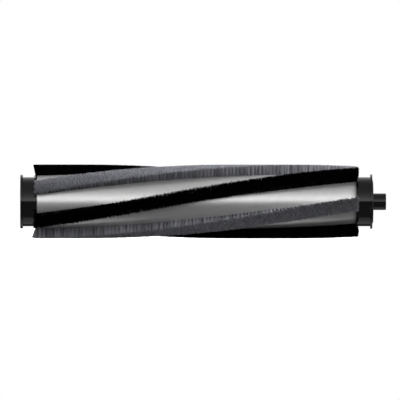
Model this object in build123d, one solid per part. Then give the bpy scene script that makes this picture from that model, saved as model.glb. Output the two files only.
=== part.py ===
from build123d import *

import os

# A vacuum cleaner's roller brush, in millimetres.
# X is the spin axis, and +X points out of the axle's end. Z is up. The origin is the middle of the length.

# Tube: a twisted aluminium extrusion with a T-slot for each bristle strip
tube_length = 200.7
tube_radius = 17.0
tube_wall = 1.6
helix_lead = 780.0
slot_mouth = 5.6
slot_lip = 1.1
slot_width = 7.6
slot_depth = 1.8
slot_wall = 1.2

# Bristle strips: a flat backing that slides into the slot, and the pile that stands on it
strip_pairs = 3
first_strip_angle = 215.2
strip_clearance = 0.15
backing_end_gap = 0.2
root_gap = 0.05
pile_height = 6.2
pile_flare = 1.0
pile_fan = 0.9
pile_splay = 2.0

# End caps: a flange and a neck, on a plug that is keyed to the bore of the tube
neck_step = 1.5
flange_edge = 0.15
plug_length = 12.0
plug_clearance = 0.12
plug_wall = 2.4

# Drive end: a lobed socket with a funnel at its mouth
drive_neck = 8.7
drive_flange = 1.7
drive_flange_rise = 1.5
socket_radius = 6.5
socket_depth = 9.0
socket_floor = 2.5
lobe_count = 6
lobe_reach = 2.5
lobe_width = 3.2
funnel_depth = 1.0
funnel_lip = 0.8

# Bearing end: a boss for the bush, tied to the plug's wall by ribs
bearing_neck = 8.85
bearing_flange = 1.35
bearing_flange_rise = 1.8
boss_wall = 2.4
rib_count = 3
rib_thickness = 1.6
web_thickness = 3.0
press_gap = 0.01

# Plain bearing: a collared bush of sintered bronze, with a felt ring in front of it
pin_diameter = 5.0
running_clearance = 0.05
bush_length = 7.0
bush_wall = 2.0
collar_rise = 1.5
collar_thickness = 1.0
felt_radius = 8.5
felt_thickness = 1.7
felt_gap = 0.15

# Axle: a moulded stub with a dust disc, on a steel pin that a washer and a clip hold in the bush
stub_length = 8.1
stub_radius = 5.25
stub_lead_in = 0.8
stub_lead_in_drop = 0.15
disc_inset = 3.8
disc_proud = 0.6
disc_thickness = 2.0
disc_edge = 0.4
disc_clearance = 0.3
hub_wall = 1.6
pin_embed = 8.0
pin_tail = 1.0
pin_edge = 0.3
end_play = 0.1
washer_radius = 4.4
washer_thickness = 0.5
clip_radius = 4.6
clip_thickness = 0.7
clip_arm = 1.5
clip_tab_width = 1.4
groove_depth = 0.5

# Stations along X, from the drive end to the tip of the stub
overall_length = (
    drive_flange + drive_neck + tube_length + bearing_neck + bearing_flange + disc_proud + stub_length
)
drive_face = -overall_length / 2
tube_left = drive_face + drive_flange + drive_neck
tube_right = tube_left + tube_length
bearing_face = tube_right + bearing_neck + bearing_flange
disc_outer = bearing_face + disc_proud
disc_inner = disc_outer - disc_thickness
stub_end = disc_outer + stub_length
recess_floor = disc_inner - disc_clearance
felt_right = recess_floor - felt_gap
felt_left = felt_right - felt_thickness
collar_right = felt_left - felt_gap
collar_left = collar_right - collar_thickness
bush_left = collar_left - bush_length
washer_right = bush_left - end_play
washer_left = washer_right - washer_thickness
clip_right = washer_left - end_play
clip_left = clip_right - clip_thickness

# Radii that follow from the sizes above
strip_count = 2 * strip_pairs
strip_step = 360 / strip_count
tip_radius = tube_radius + pile_height
bore_radius = tube_radius - tube_wall
slot_top = tube_radius - slot_lip
slot_bottom = slot_top - slot_depth
key_radius = slot_bottom - slot_wall
neck_radius = tube_radius - neck_step
drive_flange_radius = neck_radius + drive_flange_rise
bearing_flange_radius = neck_radius + bearing_flange_rise
disc_radius = bearing_flange_radius - disc_inset
plug_hollow = key_radius - plug_clearance - plug_wall
pin_radius = pin_diameter / 2
bush_bore = pin_radius + running_clearance
bush_radius = bush_bore + bush_wall
collar_radius = bush_radius + collar_rise
boss_radius = bush_radius + boss_wall
hub_radius = pin_radius + hub_wall
groove_radius = pin_radius - groove_depth


def turned(outline):
    """Turns a closed outline of (x, radius) points once round the spin axis."""
    with BuildSketch(Plane.XY) as section:
        with BuildLine():
            Polyline(*outline, close=True)
        make_face()
    return Solid.revolve(section.sketch.face(), 360, Axis.X)


def ring(inner, outer, start, end):
    """A plain ring, or a disc where the inner radius is 0, between two stations."""
    return turned([(start, inner), (end, inner), (end, outer), (start, outer)])


def twist_at(x):
    """The angle that the strips have turned through at a station, in degrees about +X."""
    return -360 * (x - tube_left) / helix_lead


def twisted(section, start, end):
    """Carries a section along X from one station to another, turning with the strips."""
    face = section.face().rotate(Axis.X, twist_at(start)).translate((start, 0, 0))
    return Solid.extrude_linear_with_rotation(
        face, (start, 0, 0), (end - start, 0, 0), twist_at(end) - twist_at(start)
    )


def at_each_strip():
    """The places round the axis where the strips begin, with local X pointing outwards."""
    return PolarLocations(0, strip_count, start_angle=first_strip_angle)


def bore_section(clearance):
    """The bore of the tube, smaller all round by a clearance: a circle keyed by the backs of the slots."""
    with BuildSketch(Plane.YZ) as section:
        Circle(bore_radius - clearance)
        with at_each_strip():
            with Locations((key_radius - clearance, 0)):
                key_width = slot_width + 2 * slot_wall + 2 * clearance
                Rectangle(tube_radius, key_width, align=(Align.MIN, Align.CENTER), mode=Mode.SUBTRACT)
    return section.sketch


def roller_tube():
    """The extrusion: one section with a lipped slot for each strip, twisted from end to end."""
    with BuildSketch(Plane.YZ) as outside:
        Circle(tube_radius)
        with at_each_strip():
            with Locations((slot_bottom, 0)):
                Rectangle(slot_depth, slot_width, align=(Align.MIN, Align.CENTER), mode=Mode.SUBTRACT)
                Rectangle(tube_radius, slot_mouth, align=(Align.MIN, Align.CENTER), mode=Mode.SUBTRACT)
    return twisted(outside.sketch - bore_section(0), tube_left, tube_right)


def strip_backing():
    """A strip's flat carrier, loose in its slot by the strip clearance on every side."""
    with BuildSketch(Plane.YZ) as section:
        with Locations(((slot_bottom + slot_top) / 2, 0)):
            Rectangle(slot_depth - 2 * strip_clearance, slot_width - 2 * strip_clearance)
    return twisted(section.sketch, tube_left + backing_end_gap, tube_right - backing_end_gap)


def strip_pile():
    """A strip's bristles: flared above the slot, trimmed round, with ends that lean outwards."""
    root = slot_top - strip_clearance + root_gap
    half_mouth = slot_mouth / 2 - strip_clearance
    untrimmed = tube_radius + 2 * pile_height
    half_untrimmed = half_mouth + 2 * pile_flare
    with BuildSketch(Plane.YZ) as section:
        with BuildLine():
            Polyline(
                (root, 0),
                (root, half_mouth),
                (tube_radius, half_mouth),
                (untrimmed, half_untrimmed),
                (untrimmed, 0),
            )
            mirror(about=Plane.XZ)
        make_face()
    overrun = 2 * pile_splay
    long_pile = twisted(section.sketch, tube_left - overrun, tube_right + overrun)
    trim = turned(
        [
            (tube_left, key_radius),
            (tube_left, slot_top),
            (tube_left - pile_fan, tube_radius),
            (tube_left - pile_splay, tip_radius),
            (tube_right + pile_splay, tip_radius),
            (tube_right + pile_fan, tube_radius),
            (tube_right, slot_top),
            (tube_right, key_radius),
        ]
    )
    return long_pile & trim


def bristle_strips():
    """Every strip's backing and pile, black and grey by turns round the tube."""
    backing = strip_backing()
    pile = strip_pile()
    pieces = {}
    for place in range(strip_count):
        colour = ("black", "grey")[place % 2]
        number = place // 2 + 1
        angle = first_strip_angle + place * strip_step
        pieces[f"{colour}_backing_{number}"] = backing.rotate(Axis.X, angle)
        pieces[f"{colour}_pile_{number}"] = pile.rotate(Axis.X, angle)
    return pieces


def cap_blank(tube_end, outward, neck_length, flange_thickness, flange_radius):
    """A cap before it is hollowed: flange and neck turned, and the plug twisted as the bore is."""
    neck_end = tube_end + outward * neck_length
    face = neck_end + outward * flange_thickness
    plug_end = tube_end - outward * plug_length
    edge = outward * flange_edge
    head = turned(
        [
            (tube_end, 0),
            (tube_end, neck_radius),
            (neck_end, neck_radius),
            (neck_end, flange_radius - flange_edge),
            (neck_end + edge, flange_radius),
            (face - edge, flange_radius),
            (face, flange_radius - flange_edge),
            (face, 0),
        ]
    )
    plug = twisted(bore_section(plug_clearance), min(tube_end, plug_end), max(tube_end, plug_end))
    return head + plug


def drive_end_cap():
    """The left cap: a lobed socket that the motor's coupling enters, and a hollow plug behind it."""
    socket_end = drive_face + socket_depth
    lobe_radius = socket_radius + lobe_reach
    with BuildSketch(Plane.YZ.offset(drive_face)) as socket_section:
        Circle(socket_radius)
        with PolarLocations(0, lobe_count, start_angle=first_strip_angle):
            Rectangle(lobe_radius, lobe_width, align=(Align.MIN, Align.CENTER))
    socket = extrude(socket_section.sketch, socket_depth)
    funnel = turned(
        [
            (drive_face, 0),
            (drive_face, lobe_radius + funnel_lip),
            (drive_face + funnel_depth, lobe_radius),
            (drive_face + funnel_depth, 0),
        ]
    )
    hollow = ring(0, plug_hollow, socket_end + socket_floor, tube_left + plug_length)
    blank = cap_blank(tube_left, -1, drive_neck, drive_flange, drive_flange_radius)
    return blank - socket - funnel - hollow


def bearing_end_cap():
    """The right cap: a recess for the dust disc, a stepped hole for felt and bush, and a ribbed core."""
    plug_end = tube_right - plug_length
    core_end = recess_floor - web_thickness
    recess = ring(0, disc_radius + disc_clearance, recess_floor, bearing_face)
    felt_seat = ring(0, felt_radius + press_gap, collar_right, recess_floor)
    collar_seat = ring(0, collar_radius + press_gap, collar_left, collar_right)
    bush_seat = ring(0, bush_radius + press_gap, bush_left, collar_left)
    hollow = ring(0, plug_hollow, plug_end, bush_left)
    core = ring(boss_radius, plug_hollow, bush_left, core_end)
    with BuildSketch(Plane.YZ.offset(bush_left)) as rib_section:
        with PolarLocations(0, rib_count, start_angle=first_strip_angle):
            Rectangle(neck_radius, rib_thickness, align=(Align.MIN, Align.CENTER))
    core -= extrude(rib_section.sketch, core_end - bush_left)
    blank = cap_blank(tube_right, 1, bearing_neck, bearing_flange, bearing_flange_radius)
    return blank - recess - felt_seat - collar_seat - bush_seat - hollow - core


def bearing_bush():
    """The bush: a barrel pressed into the boss up to its collar."""
    return turned(
        [
            (bush_left, bush_bore),
            (bush_left, bush_radius),
            (collar_left, bush_radius),
            (collar_left, collar_radius),
            (collar_right, collar_radius),
            (collar_right, bush_bore),
        ]
    )


def felt_ring():
    """The ring of felt that keeps hair and dust out of the bush."""
    return ring(hub_radius + running_clearance, felt_radius, felt_left, felt_right)


def axle_stub():
    """The stub, its dust disc and the hub that runs on the collar, with a blind hole for the pin."""
    hub_end = collar_right + end_play
    hole_end = disc_inner + pin_embed
    hole_radius = pin_radius + press_gap
    with BuildSketch(Plane.XY) as section:
        with BuildLine():
            Polyline(
                (hub_end, hole_radius),
                (hub_end, hub_radius),
                (disc_inner, hub_radius),
                (disc_inner, disc_radius),
                (disc_outer, disc_radius),
                (disc_outer, stub_radius),
                (stub_end - stub_lead_in, stub_radius),
                (stub_end, stub_radius - stub_lead_in_drop),
                (stub_end, 0),
                (hole_end, 0),
                (hole_end, hole_radius),
                close=True,
            )
        make_face()
        fillet(section.vertices().sort_by_distance((disc_outer, disc_radius))[0], disc_edge)
    return Solid.revolve(section.sketch.face(), 360, Axis.X)


def axle_pin():
    """The steel pin, from the bottom of its hole in the stub to a tail past the groove for the clip."""
    pin_left = clip_left - pin_tail
    pin_right = disc_inner + pin_embed
    return turned(
        [
            (pin_right, 0),
            (pin_right, pin_radius),
            (clip_right, pin_radius),
            (clip_right, groove_radius),
            (clip_left, groove_radius),
            (clip_left, pin_radius),
            (pin_left + pin_edge, pin_radius),
            (pin_left, pin_radius - pin_edge),
            (pin_left, 0),
        ]
    )


def thrust_washer():
    """The steel washer between the end of the bush and the clip."""
    return ring(bush_bore, washer_radius, washer_left, washer_right)


def retaining_clip():
    """An E-shaped clip: an open ring clear of the pin, with three tabs that reach into the groove."""
    tab_inner = groove_radius + press_gap
    tab_length = clip_radius - clip_arm / 2 - tab_inner
    with BuildSketch(Plane.YZ.offset(clip_left + press_gap)) as section:
        Circle(clip_radius)
        Circle(clip_radius - clip_arm, mode=Mode.SUBTRACT)
        Rectangle(2 * tab_inner, clip_radius, align=(Align.CENTER, Align.MAX), mode=Mode.SUBTRACT)
        with PolarLocations(0, 3, start_angle=90):
            with Locations((tab_inner, 0)):
                Rectangle(tab_length, clip_tab_width, align=(Align.MIN, Align.CENTER))
    return extrude(section.sketch, clip_thickness - 2 * press_gap)


def roller_brush():
    """Every piece of the brush, by name."""
    return {
        "roller_tube": roller_tube(),
        **bristle_strips(),
        "drive_end_cap": drive_end_cap(),
        "bearing_end_cap": bearing_end_cap(),
        "bearing_bush": bearing_bush(),
        "felt_ring": felt_ring(),
        "axle_stub": axle_stub(),
        "axle_pin": axle_pin(),
        "thrust_washer": thrust_washer(),
        "retaining_clip": retaining_clip(),
    }


os.makedirs("parts", exist_ok=True)
for name, piece in roller_brush().items():
    export_step(piece, f"parts/{name}.step")
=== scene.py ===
"""Dresses a vacuum roller brush: bristles on its strips, a finish on every piece, a plain studio."""

import logging
import math
import random
from dataclasses import dataclass, field
from enum import Enum

import bmesh
import bpy
from mathutils import Matrix, Vector, noise


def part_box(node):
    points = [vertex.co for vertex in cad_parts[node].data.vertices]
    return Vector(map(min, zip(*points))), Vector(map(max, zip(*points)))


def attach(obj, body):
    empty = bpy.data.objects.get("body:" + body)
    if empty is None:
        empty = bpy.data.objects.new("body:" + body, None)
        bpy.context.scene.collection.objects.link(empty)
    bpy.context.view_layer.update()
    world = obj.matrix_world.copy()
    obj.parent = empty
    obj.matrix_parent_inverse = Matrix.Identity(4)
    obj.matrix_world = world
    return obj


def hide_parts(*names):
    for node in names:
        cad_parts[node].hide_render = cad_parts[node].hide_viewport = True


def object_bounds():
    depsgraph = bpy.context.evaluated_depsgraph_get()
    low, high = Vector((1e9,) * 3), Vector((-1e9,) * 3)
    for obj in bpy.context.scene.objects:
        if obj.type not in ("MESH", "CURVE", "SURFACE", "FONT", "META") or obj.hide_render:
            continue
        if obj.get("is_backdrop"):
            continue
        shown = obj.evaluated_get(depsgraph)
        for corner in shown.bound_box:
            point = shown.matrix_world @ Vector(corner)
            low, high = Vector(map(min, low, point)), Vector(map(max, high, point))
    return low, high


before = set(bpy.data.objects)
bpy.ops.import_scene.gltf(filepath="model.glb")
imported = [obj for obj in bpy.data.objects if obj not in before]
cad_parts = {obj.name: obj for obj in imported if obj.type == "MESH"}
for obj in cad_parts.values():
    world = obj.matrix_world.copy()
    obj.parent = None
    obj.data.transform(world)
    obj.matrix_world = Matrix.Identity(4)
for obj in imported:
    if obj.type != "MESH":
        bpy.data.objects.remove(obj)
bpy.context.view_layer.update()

MM = 0.001
HELIX_LEAD = 780.0 * MM
MAP_NAME = "OFBake"
LOG = logging.getLogger("roller_brush")

Colour = tuple[float, float, float]
Levels = tuple[tuple[float, float], ...]


class StripColour(Enum):
    """The two colours of bristle, which alternate round the tube."""

    BLACK = "black"
    GREY = "grey"


class Body(Enum):
    """What moves as one: the axle is held by the cleaner, and the roller turns on it."""

    AXLE = "axle"
    ROLLER = "roller"


class Wiring:
    """Adds nodes to a tree and joins them, so that a finish reads as a recipe."""

    def __init__(self, tree: bpy.types.NodeTree) -> None:
        """Starts with an empty tree."""
        self.tree = tree
        tree.nodes.clear()

    def node(
        self, kind: str, inputs: dict[str | int, object] | None = None, **settings: object
    ) -> bpy.types.Node:
        """Adds one node.

        Args:
            kind: The node's type, without the word ShaderNode.
            inputs: What each named or numbered input gets: a value, or a socket to join to it.
            settings: The node's own properties.

        Returns:
            The new node.
        """
        made = self.tree.nodes.new(kind if kind.startswith("NodeGroup") else f"ShaderNode{kind}")
        for name, value in settings.items():
            setattr(made, name, value)
        for name, value in (inputs or {}).items():
            self.feed(made.inputs[name], value)
        return made

    def feed(self, socket: bpy.types.NodeSocket, value: object) -> None:
        """Joins a socket to an input, or sets the input's own value."""
        if isinstance(value, bpy.types.NodeSocket):
            self.tree.links.new(value, socket)
        else:
            socket.default_value = value

    def math(self, operation: str, *values: object) -> bpy.types.NodeSocket:
        """Adds a Math node and gives back its result."""
        return self.node("Math", dict(enumerate(values)), operation=operation).outputs[0]

    def remap(
        self, value: bpy.types.NodeSocket, low: float, high: float, to_low: float = 0.0, to_high: float = 1.0
    ) -> bpy.types.NodeSocket:
        """Stretches a range of a value onto another range, and holds it there."""
        ranges = {"Value": value, "From Min": low, "From Max": high, "To Min": to_low, "To Max": to_high}
        return self.node("MapRange", ranges).outputs["Result"]

    def mix(self, factor: bpy.types.NodeSocket, first: object, second: object) -> bpy.types.NodeSocket:
        """Runs from one colour to another as a factor goes from 0 to 1."""
        return self.node("Mix", {"Factor": factor, 6: first, 7: second}, data_type="RGBA").outputs[2]

    def tint(self, factor: bpy.types.NodeSocket, first: Colour, second: Colour) -> bpy.types.NodeSocket:
        """Mixes two colours that are the same all over."""
        return self.mix(factor, (*first, 1.0), (*second, 1.0))

    def group(self, shared: bpy.types.NodeTree, inputs: dict[str, object]) -> bpy.types.NodeSocket:
        """Places a shared effect with its own values, and gives back its first output."""
        made = self.tree.nodes.new("ShaderNodeGroup")
        made.node_tree = shared
        for name, value in inputs.items():
            self.feed(made.inputs[name], value)
        return made.outputs[0]


class SharedEffects:
    """The effects that several finishes use, each a node group that is built once."""

    contrast: tuple[float, float] = (0.3, 0.7)

    def __init__(self) -> None:
        """Builds the groups."""
        self.grain = self.build_grain()
        self.lines = self.build_lines()

    def build_grain(self) -> bpy.types.NodeTree:
        """Makes the grain: soft spots of a given size, the same in every direction."""
        tree = bpy.data.node_groups.new("grain", "ShaderNodeTree")
        tree.interface.new_socket("Shade", in_out="OUTPUT", socket_type="NodeSocketFloat")
        tree.interface.new_socket("Place", in_out="INPUT", socket_type="NodeSocketVector")
        tree.interface.new_socket("Size", in_out="INPUT", socket_type="NodeSocketFloat")
        wiring = Wiring(tree)
        entry = wiring.node("NodeGroupInput")
        scale = wiring.math("DIVIDE", 1.0, entry.outputs["Size"])
        spots = wiring.node("TexNoise", {"Vector": entry.outputs["Place"], "Scale": scale, "Detail": 3.0})
        shade = wiring.remap(spots.outputs[0], *self.contrast)
        wiring.node("NodeGroupOutput", {"Shade": shade})
        return tree

    def build_lines(self) -> bpy.types.NodeTree:
        """Makes fine lines across one measured direction, as drawing or turning leaves them."""
        tree = bpy.data.node_groups.new("fine_lines", "ShaderNodeTree")
        tree.interface.new_socket("Shade", in_out="OUTPUT", socket_type="NodeSocketFloat")
        tree.interface.new_socket("Distance", in_out="INPUT", socket_type="NodeSocketFloat")
        tree.interface.new_socket("Spacing", in_out="INPUT", socket_type="NodeSocketFloat")
        wiring = Wiring(tree)
        entry = wiring.node("NodeGroupInput")
        turn = wiring.math("DIVIDE", entry.outputs["Distance"], entry.outputs["Spacing"])
        lines = wiring.node("TexNoise", {"W": turn, "Scale": 1.0, "Detail": 4.0}, noise_dimensions="1D")
        shade = wiring.remap(lines.outputs[0], *self.contrast)
        wiring.node("NodeGroupOutput", {"Shade": shade})
        return tree


@dataclass(frozen=True)
class Finish:
    """A finish that every kind below builds on."""

    name: str

    def start(self) -> tuple[bpy.types.Material, Wiring, bpy.types.Node, bpy.types.NodeSocket]:
        """Makes an empty material with its shader.

        Returns:
            The material, its wiring, its shader, and the piece's own coordinates in metres.
        """
        material = bpy.data.materials.new(self.name)
        material.use_nodes = True
        wiring = Wiring(material.node_tree)
        shader = wiring.node("BsdfPrincipled")
        wiring.node("OutputMaterial", {"Surface": shader.outputs[0]})
        place = wiring.node("TexCoord").outputs["Object"]
        return material, wiring, shader, place


@dataclass(frozen=True)
class DrawnAluminium(Finish):
    """Satin extruded metal, with faint die lines that follow the twist, and painted shade darkening it
    towards both ends of the tube.
    """

    pale: Colour = (0.70, 0.70, 0.695)
    dark: Colour = (0.66, 0.66, 0.655)
    metal: float = 0.74
    line_spacing: float = 0.5 * MM
    spot_size: float = 4.0 * MM
    roughness: tuple[float, float] = (0.31, 0.37)
    radius: float = 17.0 * MM
    lead: float = HELIX_LEAD
    # Painted shade at the tube's ends: its dark colour, where it starts and where it is full at each end,
    # and how sharply it comes on.
    painted_end_shade: Colour = (0.10, 0.10, 0.10)
    left_painted_end_shade: tuple[float, float] = (-103.7 * MM, -104.6 * MM)
    right_painted_end_shade: tuple[float, float] = (91.0 * MM, 96.1 * MM)
    painted_end_shade_falloff: float = 3.0

    def build(self, effects: SharedEffects) -> bpy.types.Material:
        """Makes the material.

        Args:
            effects: The shared node groups.

        Returns:
            The material.
        """
        material, wiring, shader, place = self.start()
        shader.inputs["Metallic"].default_value = self.metal
        parts = wiring.node("SeparateXYZ", {0: place}).outputs
        angle = wiring.math("ARCTAN2", parts["Z"], parts["Y"])
        helix = wiring.math("MULTIPLY_ADD", parts["X"], math.tau / self.lead, angle)
        distance = wiring.math("MULTIPLY", helix, self.radius)
        lines = wiring.group(effects.lines, {"Distance": distance, "Spacing": self.line_spacing})
        spots = wiring.group(effects.grain, {"Place": place, "Size": self.spot_size})
        # Painted shade: the base colour is mixed towards dark grey near each end of the tube, where the caps
        # and the strip ends shade the metal.
        left = wiring.remap(parts["X"], *self.left_painted_end_shade)
        right = wiring.remap(parts["X"], *self.right_painted_end_shade)
        painted_end_shade = wiring.math("POWER", wiring.math("MAXIMUM", left, right), self.painted_end_shade_falloff)
        metal = wiring.tint(spots, self.pale, self.dark)
        wiring.feed(shader.inputs["Base Color"], wiring.mix(painted_end_shade, metal, (*self.painted_end_shade, 1.0)))
        wiring.feed(shader.inputs["Roughness"], wiring.remap(lines, 0.0, 1.0, *self.roughness))
        return material


@dataclass(frozen=True)
class GlossMoulding(Finish):
    """Black moulded plastic with a gloss, and the faint ripple that a mould leaves."""

    deep: Colour = (0.0012, 0.0012, 0.0012)
    worn: Colour = (0.002, 0.002, 0.002)
    ripple: float = 2.5 * MM
    shine: float = 0.42
    roughness: tuple[float, float] = (0.07, 0.1)
    bump: float = 0.15
    depth: float = 0.02 * MM

    def build(self, effects: SharedEffects) -> bpy.types.Material:
        """Makes the material.

        Args:
            effects: The shared node groups.

        Returns:
            The material.
        """
        material, wiring, shader, place = self.start()
        shader.inputs["Specular IOR Level"].default_value = self.shine
        ripple = wiring.group(effects.grain, {"Place": place, "Size": self.ripple})
        wiring.feed(shader.inputs["Base Color"], wiring.tint(ripple, self.deep, self.worn))
        wiring.feed(shader.inputs["Roughness"], wiring.remap(ripple, 0.0, 1.0, *self.roughness))
        bump = wiring.node("Bump", {"Strength": self.bump, "Distance": self.depth, "Height": ripple})
        wiring.feed(shader.inputs["Normal"], bump.outputs[0])
        return material


@dataclass(frozen=True)
class Nylon(Finish):
    """Bristle nylon, toned bristle by bristle and from root to tip by the pile's own map; the darkening
    towards the root is painted shade.
    """

    dull: Colour
    bright: Colour
    # Painted shade: the share of the colour that is left at the root of each bristle.
    root_painted_shade: float
    shine: float
    roughness: float = 0.6
    map_name: str = MAP_NAME

    def build(self, effects: SharedEffects) -> bpy.types.Material:
        """Makes the material.

        Args:
            effects: The shared node groups; not used here.

        Returns:
            The material.
        """
        material, wiring, shader, _ = self.start()
        shader.inputs["Roughness"].default_value = self.roughness
        shader.inputs["Specular IOR Level"].default_value = self.shine
        place = wiring.node("UVMap", uv_map=self.map_name).outputs[0]
        parts = wiring.node("SeparateXYZ", {0: place}).outputs
        shade = wiring.tint(parts["X"], self.dull, self.bright)
        # Painted shade: the colour is scaled down towards the root, for the shade deep in the pile.
        height = wiring.remap(parts["Y"], 0.0, 1.0, self.root_painted_shade, 1.0)
        scaled = wiring.node("VectorMath", {0: shade, "Scale": height}, operation="SCALE").outputs[0]
        wiring.feed(shader.inputs["Base Color"], scaled)
        return material


@dataclass(frozen=True)
class Speckled(Finish):
    """A dull finish with grain in it: sintered bronze, felt, or the plain plastic of the strips."""

    first: Colour
    second: Colour
    size: float
    smooth: float
    rough: float
    depth: float
    metal: float = 0.0
    bump: float = 0.5

    def build(self, effects: SharedEffects) -> bpy.types.Material:
        """Makes the material.

        Args:
            effects: The shared node groups.

        Returns:
            The material.
        """
        material, wiring, shader, place = self.start()
        shader.inputs["Metallic"].default_value = self.metal
        spots = wiring.group(effects.grain, {"Place": place, "Size": self.size})
        wiring.feed(shader.inputs["Base Color"], wiring.tint(spots, self.first, self.second))
        wiring.feed(shader.inputs["Roughness"], wiring.remap(spots, 0.0, 1.0, self.smooth, self.rough))
        bump = wiring.node("Bump", {"Strength": self.bump, "Distance": self.depth, "Height": spots})
        wiring.feed(shader.inputs["Normal"], bump.outputs[0])
        return material


@dataclass(frozen=True)
class TurnedSteel(Finish):
    """Bright steel with the rings that turning leaves."""

    pale: Colour = (0.60, 0.60, 0.61)
    dark: Colour = (0.46, 0.46, 0.48)
    ring_spacing: float = 0.12 * MM
    roughness: tuple[float, float] = (0.22, 0.34)

    def build(self, effects: SharedEffects) -> bpy.types.Material:
        """Makes the material.

        Args:
            effects: The shared node groups.

        Returns:
            The material.
        """
        material, wiring, shader, place = self.start()
        shader.inputs["Metallic"].default_value = 1.0
        parts = wiring.node("SeparateXYZ", {0: place}).outputs
        across = wiring.node("CombineXYZ", {"Y": parts["Y"], "Z": parts["Z"]}).outputs[0]
        radius = wiring.node("VectorMath", {0: across}, operation="LENGTH").outputs["Value"]
        distance = wiring.math("ADD", parts["X"], radius)
        rings = wiring.group(effects.lines, {"Distance": distance, "Spacing": self.ring_spacing})
        wiring.feed(shader.inputs["Base Color"], wiring.tint(rings, self.pale, self.dark))
        wiring.feed(shader.inputs["Roughness"], wiring.remap(rings, 0.0, 1.0, *self.roughness))
        return material


@dataclass
class TuftStock:
    """A stock of round tufts, tight at the root and loose at the tips, to be set along the strips."""

    length: float
    shortening: float
    bristles: int = 54
    root_spread: float = 0.5 * MM
    spread_along: float = 1.5 * MM
    spread_across: float = 1.12 * MM
    scatter: float = 0.16 * MM
    stray: float = 0.5 * MM
    stray_share: float = 0.1
    root_radius: float = 0.12 * MM
    tip_radius: float = 0.13 * MM
    clump_size: float = 0.5 * MM
    clump_apart: float = 7.3
    kinds: int = 32
    cut_spread: tuple[float, float] = (0.3, 1.0)
    shade_middle: float = 0.62
    shade_clump: float = 0.6
    shade_scatter: float = 0.18
    shade_range: tuple[float, float] = (0.05, 0.95)
    # Painted shade: how much darker the bristles at the sides of each tuft along the strip are made.
    tuft_edge_painted_shade: float = 0.5
    # Painted light and shade on the cut ends: how much they are darkened, and how far they are lightened or
    # darkened with their clump's height.
    cut_end_painted_shade: float = 0.45
    end_clump: float = 2.6
    end_least: float = 0.1
    end_scatter: tuple[float, float] = (0.6, 1.5)
    sides: int = 3
    cap_slope: float = 0.9
    map_name: str = MAP_NAME
    map_width: float = 0.012
    map_turn: float = math.radians(20)
    meshes: list[bpy.types.Mesh] = field(default_factory=list)

    def build(self, rng: random.Random) -> None:
        """Makes every kind of tuft."""
        for kind in range(self.kinds):
            self.meshes.append(self.build_tuft(rng, kind))

    def build_tuft(self, rng: random.Random, kind: int) -> bpy.types.Mesh:
        """Makes one tuft, with its root at the origin and its bristles along +Y.

        Args:
            rng: Where the scatter comes from.
            kind: Which of the stock it is.

        Returns:
            The tuft's mesh.
        """
        tuft = bmesh.new()
        tuft.loops.layers.uv.new(self.map_name)
        golden = math.pi * (3 - math.sqrt(5))
        for bristle in range(self.bristles):
            reach = math.sqrt((bristle + 0.5) / self.bristles)
            out = Vector((math.cos(bristle * golden), 0, math.sin(bristle * golden))) * reach
            root = out * self.root_spread
            tip = Vector((out.x * self.spread_along, 0, out.z * self.spread_across))
            scatter = self.stray if rng.random() < self.stray_share else self.scatter
            tip += Vector((rng.gauss(0, scatter), 0, rng.gauss(0, scatter)))
            spot = (tip.x / self.clump_size, tip.z / self.clump_size, self.clump_apart * kind)
            clump = noise.noise(Vector(spot))
            tip.y = self.length - self.shortening * (0.5 - 0.5 * clump) * rng.uniform(*self.cut_spread)
            # Painted shade: bristles at the sides of a tuft along the strip are made darker, for the shade
            # in the gaps between tufts.
            shade = self.shade_middle + self.shade_clump * clump - self.tuft_edge_painted_shade * out.x * out.x
            shade += rng.gauss(0, self.shade_scatter)
            shade = min(max(shade, self.shade_range[0]), self.shade_range[1])
            # Painted light and shade on the cut ends: each end is darkened, for the dark gaps between tips
            # seen end-on, then lightened on taller clumps and darkened on shorter ones.
            painted_tip_light_and_shade = max(self.end_least, 1 + self.end_clump * clump)
            end = shade * self.cut_end_painted_shade * painted_tip_light_and_shade * rng.uniform(*self.end_scatter)
            self.add_bristle(tuft, root, tip, shade, end)
        mesh = bpy.data.meshes.new(f"tuft_{kind}")
        tuft.to_mesh(mesh)
        tuft.free()
        return mesh

    def add_bristle(
        self, tuft: bmesh.types.BMesh, root: Vector, tip: Vector, shade: float, end: float
    ) -> None:
        """Adds one bristle to a tuft, with its shade and height on the map.

        Args:
            tuft: The tuft so far.
            root: Where the bristle starts.
            tip: Where it ends.
            shade: Its place between the dull and the bright colour.
            end: The same for its cut end, darkened and varied with its clump's height as painted light and
                shade.
        """
        run = tip - root
        turn = run.to_track_quat("Z", "Y").to_matrix().to_4x4()
        made = bmesh.ops.create_cone(
            tuft,
            cap_ends=True,
            segments=self.sides,
            radius1=self.root_radius,
            radius2=self.tip_radius,
            depth=run.length,
        )
        layer = tuft.loops.layers.uv[self.map_name]
        across = self.map_width / self.root_radius
        cosine, sine = math.cos(self.map_turn), math.sin(self.map_turn)
        margin = 2 * self.map_width
        for face in {face for vert in made["verts"] for face in vert.link_faces}:
            tone = end if abs(face.normal.z) > self.cap_slope else shade
            for loop in face.loops:
                x, y, z = loop.vert.co
                height = z / run.length + 0.5
                loop[layer].uv = (
                    tone + across * (x * cosine + y * sine),
                    margin + (1 - 2 * margin) * height + across * (y * cosine - x * sine),
                )
        matrix = Matrix.Translation((root + tip) / 2) @ turn
        bmesh.ops.transform(tuft, matrix=matrix, verts=made["verts"])


@dataclass(frozen=True)
class Wear:
    """What use has done to one strip: its height, the splay of its left end and the sag of its right end."""

    height: float = 1.0
    splay: float = math.radians(4)
    sag: float = 0.0


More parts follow.
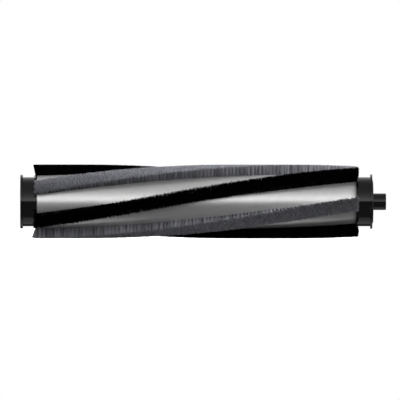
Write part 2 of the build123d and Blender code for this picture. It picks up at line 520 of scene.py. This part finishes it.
@dataclass
class BristleStrip:
    """One strip's pile, tuft by tuft, which stands for its plain solid."""

    colour: StripColour
    number: int
    angle: float
    root: float
    half_width: float
    start: float
    end: float
    wear: Wear
    lead: float = HELIX_LEAD
    rows: int = 5
    pitch: float = 2.3 * MM
    row_shift: float = 0.5
    pitch_scatter: float = 0.08
    spin_scatter: float = 0.2
    right_splay: float = math.radians(7)
    inset: float = -0.2 * MM
    splay_reach: float = 5.0 * MM
    sag_reach: float = 30.0 * MM
    edge_lean: float = math.radians(3.0)
    clump_lean: float = math.radians(2.2)
    clump_size: float = 1.5 * MM

    @property
    def node(self) -> str:
        """The name of the solid that the pile stands for."""
        return f"{self.colour.value}_pile_{self.number}"

    def build(self, stock: TuftStock, rng: random.Random) -> bpy.types.Object:
        """Sets tufts along the strip.

        Args:
            stock: The tufts to choose from.
            rng: Where the scatter comes from.

        Returns:
            The pile's object.
        """
        pile = bmesh.new()
        first, last = self.start + self.inset, self.end - stock.root_spread
        columns = round((last - first) / self.pitch)
        outermost = self.half_width - stock.root_spread
        for row in range(self.rows):
            across = (2 * row / (self.rows - 1) - 1) * outermost
            shift = self.row_shift * (row % 2)
            for column in range(columns + 1):
                along = (column + shift + rng.uniform(-self.pitch_scatter, self.pitch_scatter)) / columns
                x = min(max(first + (last - first) * along, first), last)
                tuft = rng.choice(stock.meshes).copy()
                tuft.transform(self.place(x, across, rng))
                pile.from_mesh(tuft, face_normals=False, vertex_normals=False)
                bpy.data.meshes.remove(tuft)
        pile.normal_update()
        mesh = bpy.data.meshes.new(f"{self.colour.value}_bristles_{self.number}")
        pile.to_mesh(mesh)
        pile.free()
        return bpy.data.objects.new(mesh.name, mesh)

    def place(self, x: float, across: float, rng: random.Random) -> Matrix:
        """Works out where one tuft stands and how it leans.

        Args:
            x: Its station along the tube.
            across: Its distance from the middle of the strip, at the root.
            rng: Where the scatter comes from.

        Returns:
            The tuft's transform.
        """
        turned = self.angle - math.tau * (x - self.start) / self.lead
        fan = across / self.root
        station = Vector((x, across, turned * self.root)) / self.clump_size
        lean_along = self.clump_lean * noise.noise(station)
        lean_across = self.clump_lean * noise.noise(station.zxy)
        lean_along += self.wear.splay * max(0.0, 1 - (x - self.start) / self.splay_reach) ** 2
        lean_along -= self.right_splay * max(0.0, 1 - (self.end - x) / self.splay_reach) ** 2
        lean_across += self.edge_lean * across / self.half_width
        lean_across += self.wear.sag * max(0.0, 1 - (self.end - x) / self.sag_reach) ** 2
        spin = rng.choice((0.0, math.pi)) + rng.uniform(-self.spin_scatter, self.spin_scatter)
        spun = Matrix.Rotation(spin, 4, "Y")
        leaning = Matrix.Rotation(lean_along, 4, "Z") @ Matrix.Rotation(lean_across, 4, "X")
        grown = Matrix.Scale(self.wear.height, 4, (0, 1, 0))
        standing = Matrix.Translation((x, 0, 0)) @ Matrix.Rotation(turned + fan, 4, "X")
        return standing @ Matrix.Translation((0, self.root, 0)) @ leaning @ grown @ spun


@dataclass
class BristleSet:
    """All the strips' piles."""

    pairs: int = 3
    first_angle: float = math.radians(215.2)
    mouth: float = 5.6 * MM
    root: float = 15.85 * MM
    black_shortening: float = 0.25 * MM
    grey_shortening: float = 0.8 * MM
    wear: tuple[Wear, ...] = (
        Wear(),
        Wear(splay=math.radians(9), sag=math.radians(3.5)),
        Wear(),
        Wear(),
        Wear(height=1.03, splay=math.radians(3)),
        Wear(height=1.035, splay=math.radians(2)),
    )
    seed: int = 11

    def build(self, finishes: dict[StripColour, bpy.types.Material]) -> None:
        """Makes each pile, dresses it and puts it in place of its solid.

        Args:
            finishes: The nylon of each colour.
        """
        low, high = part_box("roller_tube")
        corners = [corner for name in ("black_pile_1", "grey_pile_1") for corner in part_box(name)]
        tip = max(abs(value) for corner in corners for value in corner.yz)
        rng = random.Random(self.seed)
        stocks = {
            StripColour.BLACK: TuftStock(length=tip - self.root, shortening=self.black_shortening),
            StripColour.GREY: TuftStock(length=tip - self.root, shortening=self.grey_shortening),
        }
        for stock in stocks.values():
            stock.build(rng)
        for place in range(2 * self.pairs):
            colour = (StripColour.BLACK, StripColour.GREY)[place % 2]
            strip = BristleStrip(
                colour=colour,
                number=place // 2 + 1,
                angle=self.first_angle + place * math.pi / self.pairs,
                root=self.root,
                half_width=self.mouth / 2,
                start=low.x,
                end=high.x,
                wear=self.wear[place],
            )
            pile = strip.build(stocks[colour], rng)
            pile.data.materials.append(finishes[colour])
            bpy.context.scene.collection.objects.link(pile)
            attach(pile, Body.ROLLER.value)
            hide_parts(strip.node)
            LOG.info("%s: %d faces", pile.name, len(pile.data.polygons))
        for stock in stocks.values():
            for mesh in stock.meshes:
                bpy.data.meshes.remove(mesh)


@dataclass
class Studio:
    """The floor, the light all round, and the camera."""

    floor_radius: float = 3.0
    floor_colour: Colour = (0.75, 0.75, 0.75)
    floor_glow: float = 0.5
    floor_sides: int = 96
    levels: Levels = (
        (-180, 0.2),
        (-138, 0.03),
        (-131, 0.2),
        (-124, 0.6),
        (-83, 0.58),
        (-78, 0.17),
        (1, 0.17),
        (4, 1.95),
        (8, 1.9),
        (17, 1.4),
        (27, 0.98),
        (37, 0.72),
        (47, 0.55),
        (70, 0.41),
        (92, 0.38),
        (108, 0.44),
        (130, 0.72),
        (155, 1.0),
        (180, 1.0),
    )
    wide_levels: Levels = (
        (-180, 0.3),
        (-120, 0.35),
        (-95, 0.3),
        (-78, 0.14),
        (-62, 0.06),
        (-45, 0.04),
        (2, 0.04),
        (5, 3.1),
        (9, 2.6),
        (17, 1.45),
        (27, 0.98),
        (37, 0.66),
        (47, 0.45),
        (70, 0.24),
        (92, 0.17),
        (108, 0.28),
        (130, 0.64),
        (155, 1.1),
        (180, 1.0),
    )
    soft_levels: Levels = (
        (-180, 0.05),
        (-120, 0.1),
        (-60, 0.1),
        (-20, 0.15),
        (5, 0.25),
        (14, 1.0),
        (42, 1.0),
        (56, 0.4),
        (68, 0.8),
        (80, 5.0),
        (105, 5.2),
        (120, 1.5),
        (150, 0.3),
        (180, 0.1),
    )
    aside: tuple[float, float] = (0.04, 0.12)
    ends: tuple[float, float] = (0.8, 0.95)
    end_level: Colour = (0.8, 0.8, 0.8)
    backdrop_edge: float = math.cos(math.radians(10))
    camera_distance: float = 8.0
    camera_side: float = -60.0 * MM
    aim: tuple[float, float, float] = (-1.98 * MM, 0.0, 1.05 * MM)
    frame_width: float = 251.6 * MM
    sensor: float = 36.0

    def build(self, lowest: float) -> None:
        """Sets up the studio.

        Args:
            lowest: The height of the floor.
        """
        scene = bpy.context.scene
        scene.view_settings.view_transform = "Standard"
        self.build_floor(scene, lowest)
        self.build_world(scene)
        self.build_camera(scene)

    def build_floor(self, scene: bpy.types.Scene, lowest: float) -> None:
        """Lays a pale round floor, white to the camera apart from the shadow on it."""
        disc = bmesh.new()
        bmesh.ops.create_circle(disc, cap_ends=True, segments=self.floor_sides, radius=self.floor_radius)
        bmesh.ops.translate(disc, vec=(0, 0, lowest), verts=disc.verts)
        mesh = bpy.data.meshes.new("floor")
        disc.to_mesh(mesh)
        disc.free()
        material = bpy.data.materials.new("pale_floor")
        material.use_nodes = True
        wiring = Wiring(material.node_tree)
        surface = wiring.node("BsdfDiffuse", {"Color": (*self.floor_colour, 1.0)})
        rays = wiring.node("LightPath").outputs
        seen = wiring.math("MAXIMUM", rays["Is Camera Ray"], rays["Is Transmission Ray"])
        glow = wiring.node("Emission", {"Strength": wiring.math("MULTIPLY", seen, self.floor_glow)})
        both = wiring.node("AddShader", {0: surface.outputs[0], 1: glow.outputs[0]})
        wiring.node("OutputMaterial", {"Surface": both.outputs[0]})
        mesh.materials.append(material)
        floor = bpy.data.objects.new("floor", mesh)
        floor.visible_glossy = False
        floor.visible_diffuse = False
        scene.collection.objects.link(floor)
        floor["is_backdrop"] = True

    def build_world(self, scene: bpy.types.Scene) -> None:
        """Makes the light: a bright band low in front, soft light at the ends, a white backdrop behind."""
        world = bpy.data.worlds.new("studio")
        scene.world = world
        world.use_nodes = True
        wiring = Wiring(world.node_tree)
        parts = wiring.node("SeparateXYZ", {0: wiring.node("TexCoord").outputs["Generated"]}).outputs
        forward = wiring.math("MULTIPLY", parts["Y"], -1.0)
        height = wiring.math("ARCTAN2", parts["Z"], forward)
        turn = wiring.remap(height, -math.pi, math.pi)
        straight = self.add_ramp(wiring, turn, self.levels)
        wide = self.add_ramp(wiring, turn, self.wide_levels)
        soft = self.add_ramp(wiring, turn, self.soft_levels)
        sideways = wiring.math("ABSOLUTE", parts["X"])
        aside = wiring.remap(sideways, *self.aside)
        ends = wiring.remap(sideways, *self.ends)
        glossy = wiring.mix(ends, wiring.mix(aside, straight, wide), (*self.end_level, 1.0))
        rays = wiring.node("LightPath").outputs
        lit = wiring.math("GREATER_THAN", rays["Diffuse Depth"], 0.5)
        light = wiring.node("Background", {"Color": wiring.mix(lit, glossy, soft)})
        behind = wiring.math("GREATER_THAN", parts["Y"], self.backdrop_edge)
        mirrored = wiring.math("MAXIMUM", rays["Is Glossy Ray"], rays["Is Transmission Ray"])
        seen = wiring.math("MAXIMUM", rays["Is Camera Ray"], wiring.math("MULTIPLY", mirrored, behind))
        white = wiring.node("Background", {"Color": (1, 1, 1, 1), "Strength": 1.0})
        mix = wiring.node("MixShader", {0: seen, 1: light.outputs[0], 2: white.outputs[0]})
        wiring.node("OutputWorld", {"Surface": mix.outputs[0]})

    def add_ramp(self, wiring: Wiring, turn: bpy.types.NodeSocket, levels: Levels) -> bpy.types.NodeSocket:
        """Adds a ramp with the light's level at each height round the brush.

        Args:
            wiring: The world's wiring.
            turn: The height as a share of a whole turn.
            levels: Each height in degrees with its level.

        Returns:
            The light's colour.
        """
        made = wiring.node("ValToRGB", {0: turn})
        for index, (degrees, level) in enumerate(levels):
            position = degrees / 360 + 0.5
            elements = made.color_ramp.elements
            element = elements[index] if index < 2 else elements.new(position)
            element.position = position
            element.color = (level, level, level, 1.0)
        return made.outputs[0]

    def build_camera(self, scene: bpy.types.Scene) -> None:
        """Stands a long lens level with the brush, square to its left end."""
        lens = bpy.data.cameras.new("camera")
        camera = bpy.data.objects.new("camera", lens)
        scene.collection.objects.link(camera)
        target = Vector(self.aim)
        camera.location = (self.camera_side, -self.camera_distance, target.z)
        sight = target - camera.location
        camera.rotation_euler = sight.to_track_quat("-Z", "Y").to_euler()
        lens.sensor_width = self.sensor
        lens.lens = self.sensor * sight.length / self.frame_width
        lens.dof.use_dof = False
        scene.camera = camera


@dataclass
class HardParts:
    """The pieces whose solids already have the right shape, and the finish of each."""

    finishes: dict[str, bpy.types.Material]

    def dress(self) -> None:
        """Puts each finish on its pieces."""
        for name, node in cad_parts.items():
            for prefix, material in self.finishes.items():
                if name.startswith(prefix):
                    for index in range(len(node.material_slots)):
                        node.material_slots[index].material = material
                    LOG.info("%s: %s", name, material.name)


def main() -> None:
    """Builds the classes in order."""
    logging.basicConfig(level=logging.INFO, format="%(name)s: %(message)s")
    effects = SharedEffects()
    gloss = GlossMoulding("gloss_moulding").build(effects)
    steel = TurnedSteel("turned_steel").build(effects)
    backing = Speckled(
        "strip_plastic",
        first=(0.02, 0.02, 0.02),
        second=(0.03, 0.03, 0.03),
        size=0.6 * MM,
        smooth=0.5,
        rough=0.65,
        depth=0.02 * MM,
    ).build(effects)
    bronze = Speckled(
        "sintered_bronze",
        first=(0.50, 0.33, 0.16),
        second=(0.34, 0.21, 0.10),
        size=0.25 * MM,
        smooth=0.35,
        rough=0.55,
        depth=0.02 * MM,
        metal=1.0,
    ).build(effects)
    felt = Speckled(
        "pressed_felt",
        first=(0.16, 0.15, 0.14),
        second=(0.30, 0.29, 0.27),
        size=0.35 * MM,
        smooth=0.9,
        rough=1.0,
        depth=0.15 * MM,
    ).build(effects)
    HardParts(
        {
            "roller_tube": DrawnAluminium("drawn_aluminium").build(effects),
            "drive_end_cap": gloss,
            "bearing_end_cap": gloss,
            "axle_stub": gloss,
            "axle_pin": steel,
            "thrust_washer": steel,
            "retaining_clip": steel,
            "bearing_bush": bronze,
            "felt_ring": felt,
            "black_backing": backing,
            "grey_backing": backing,
        }
    ).dress()
    BristleSet().build(
        {
            StripColour.BLACK: Nylon(
                "black_nylon",
                dull=(0.0002, 0.0002, 0.0002),
                bright=(0.0009, 0.0009, 0.0009),
                root_painted_shade=0.6,
                shine=0.02,
            ).build(effects),
            StripColour.GREY: Nylon(
                "grey_nylon",
                dull=(0.13, 0.132, 0.146),
                bright=(0.52, 0.525, 0.58),
                root_painted_shade=0.85,
                shine=0.2,
            ).build(effects),
        }
    )
    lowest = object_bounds()[0][2]
    Studio().build(lowest)


if __name__ == "__main__":
    main()
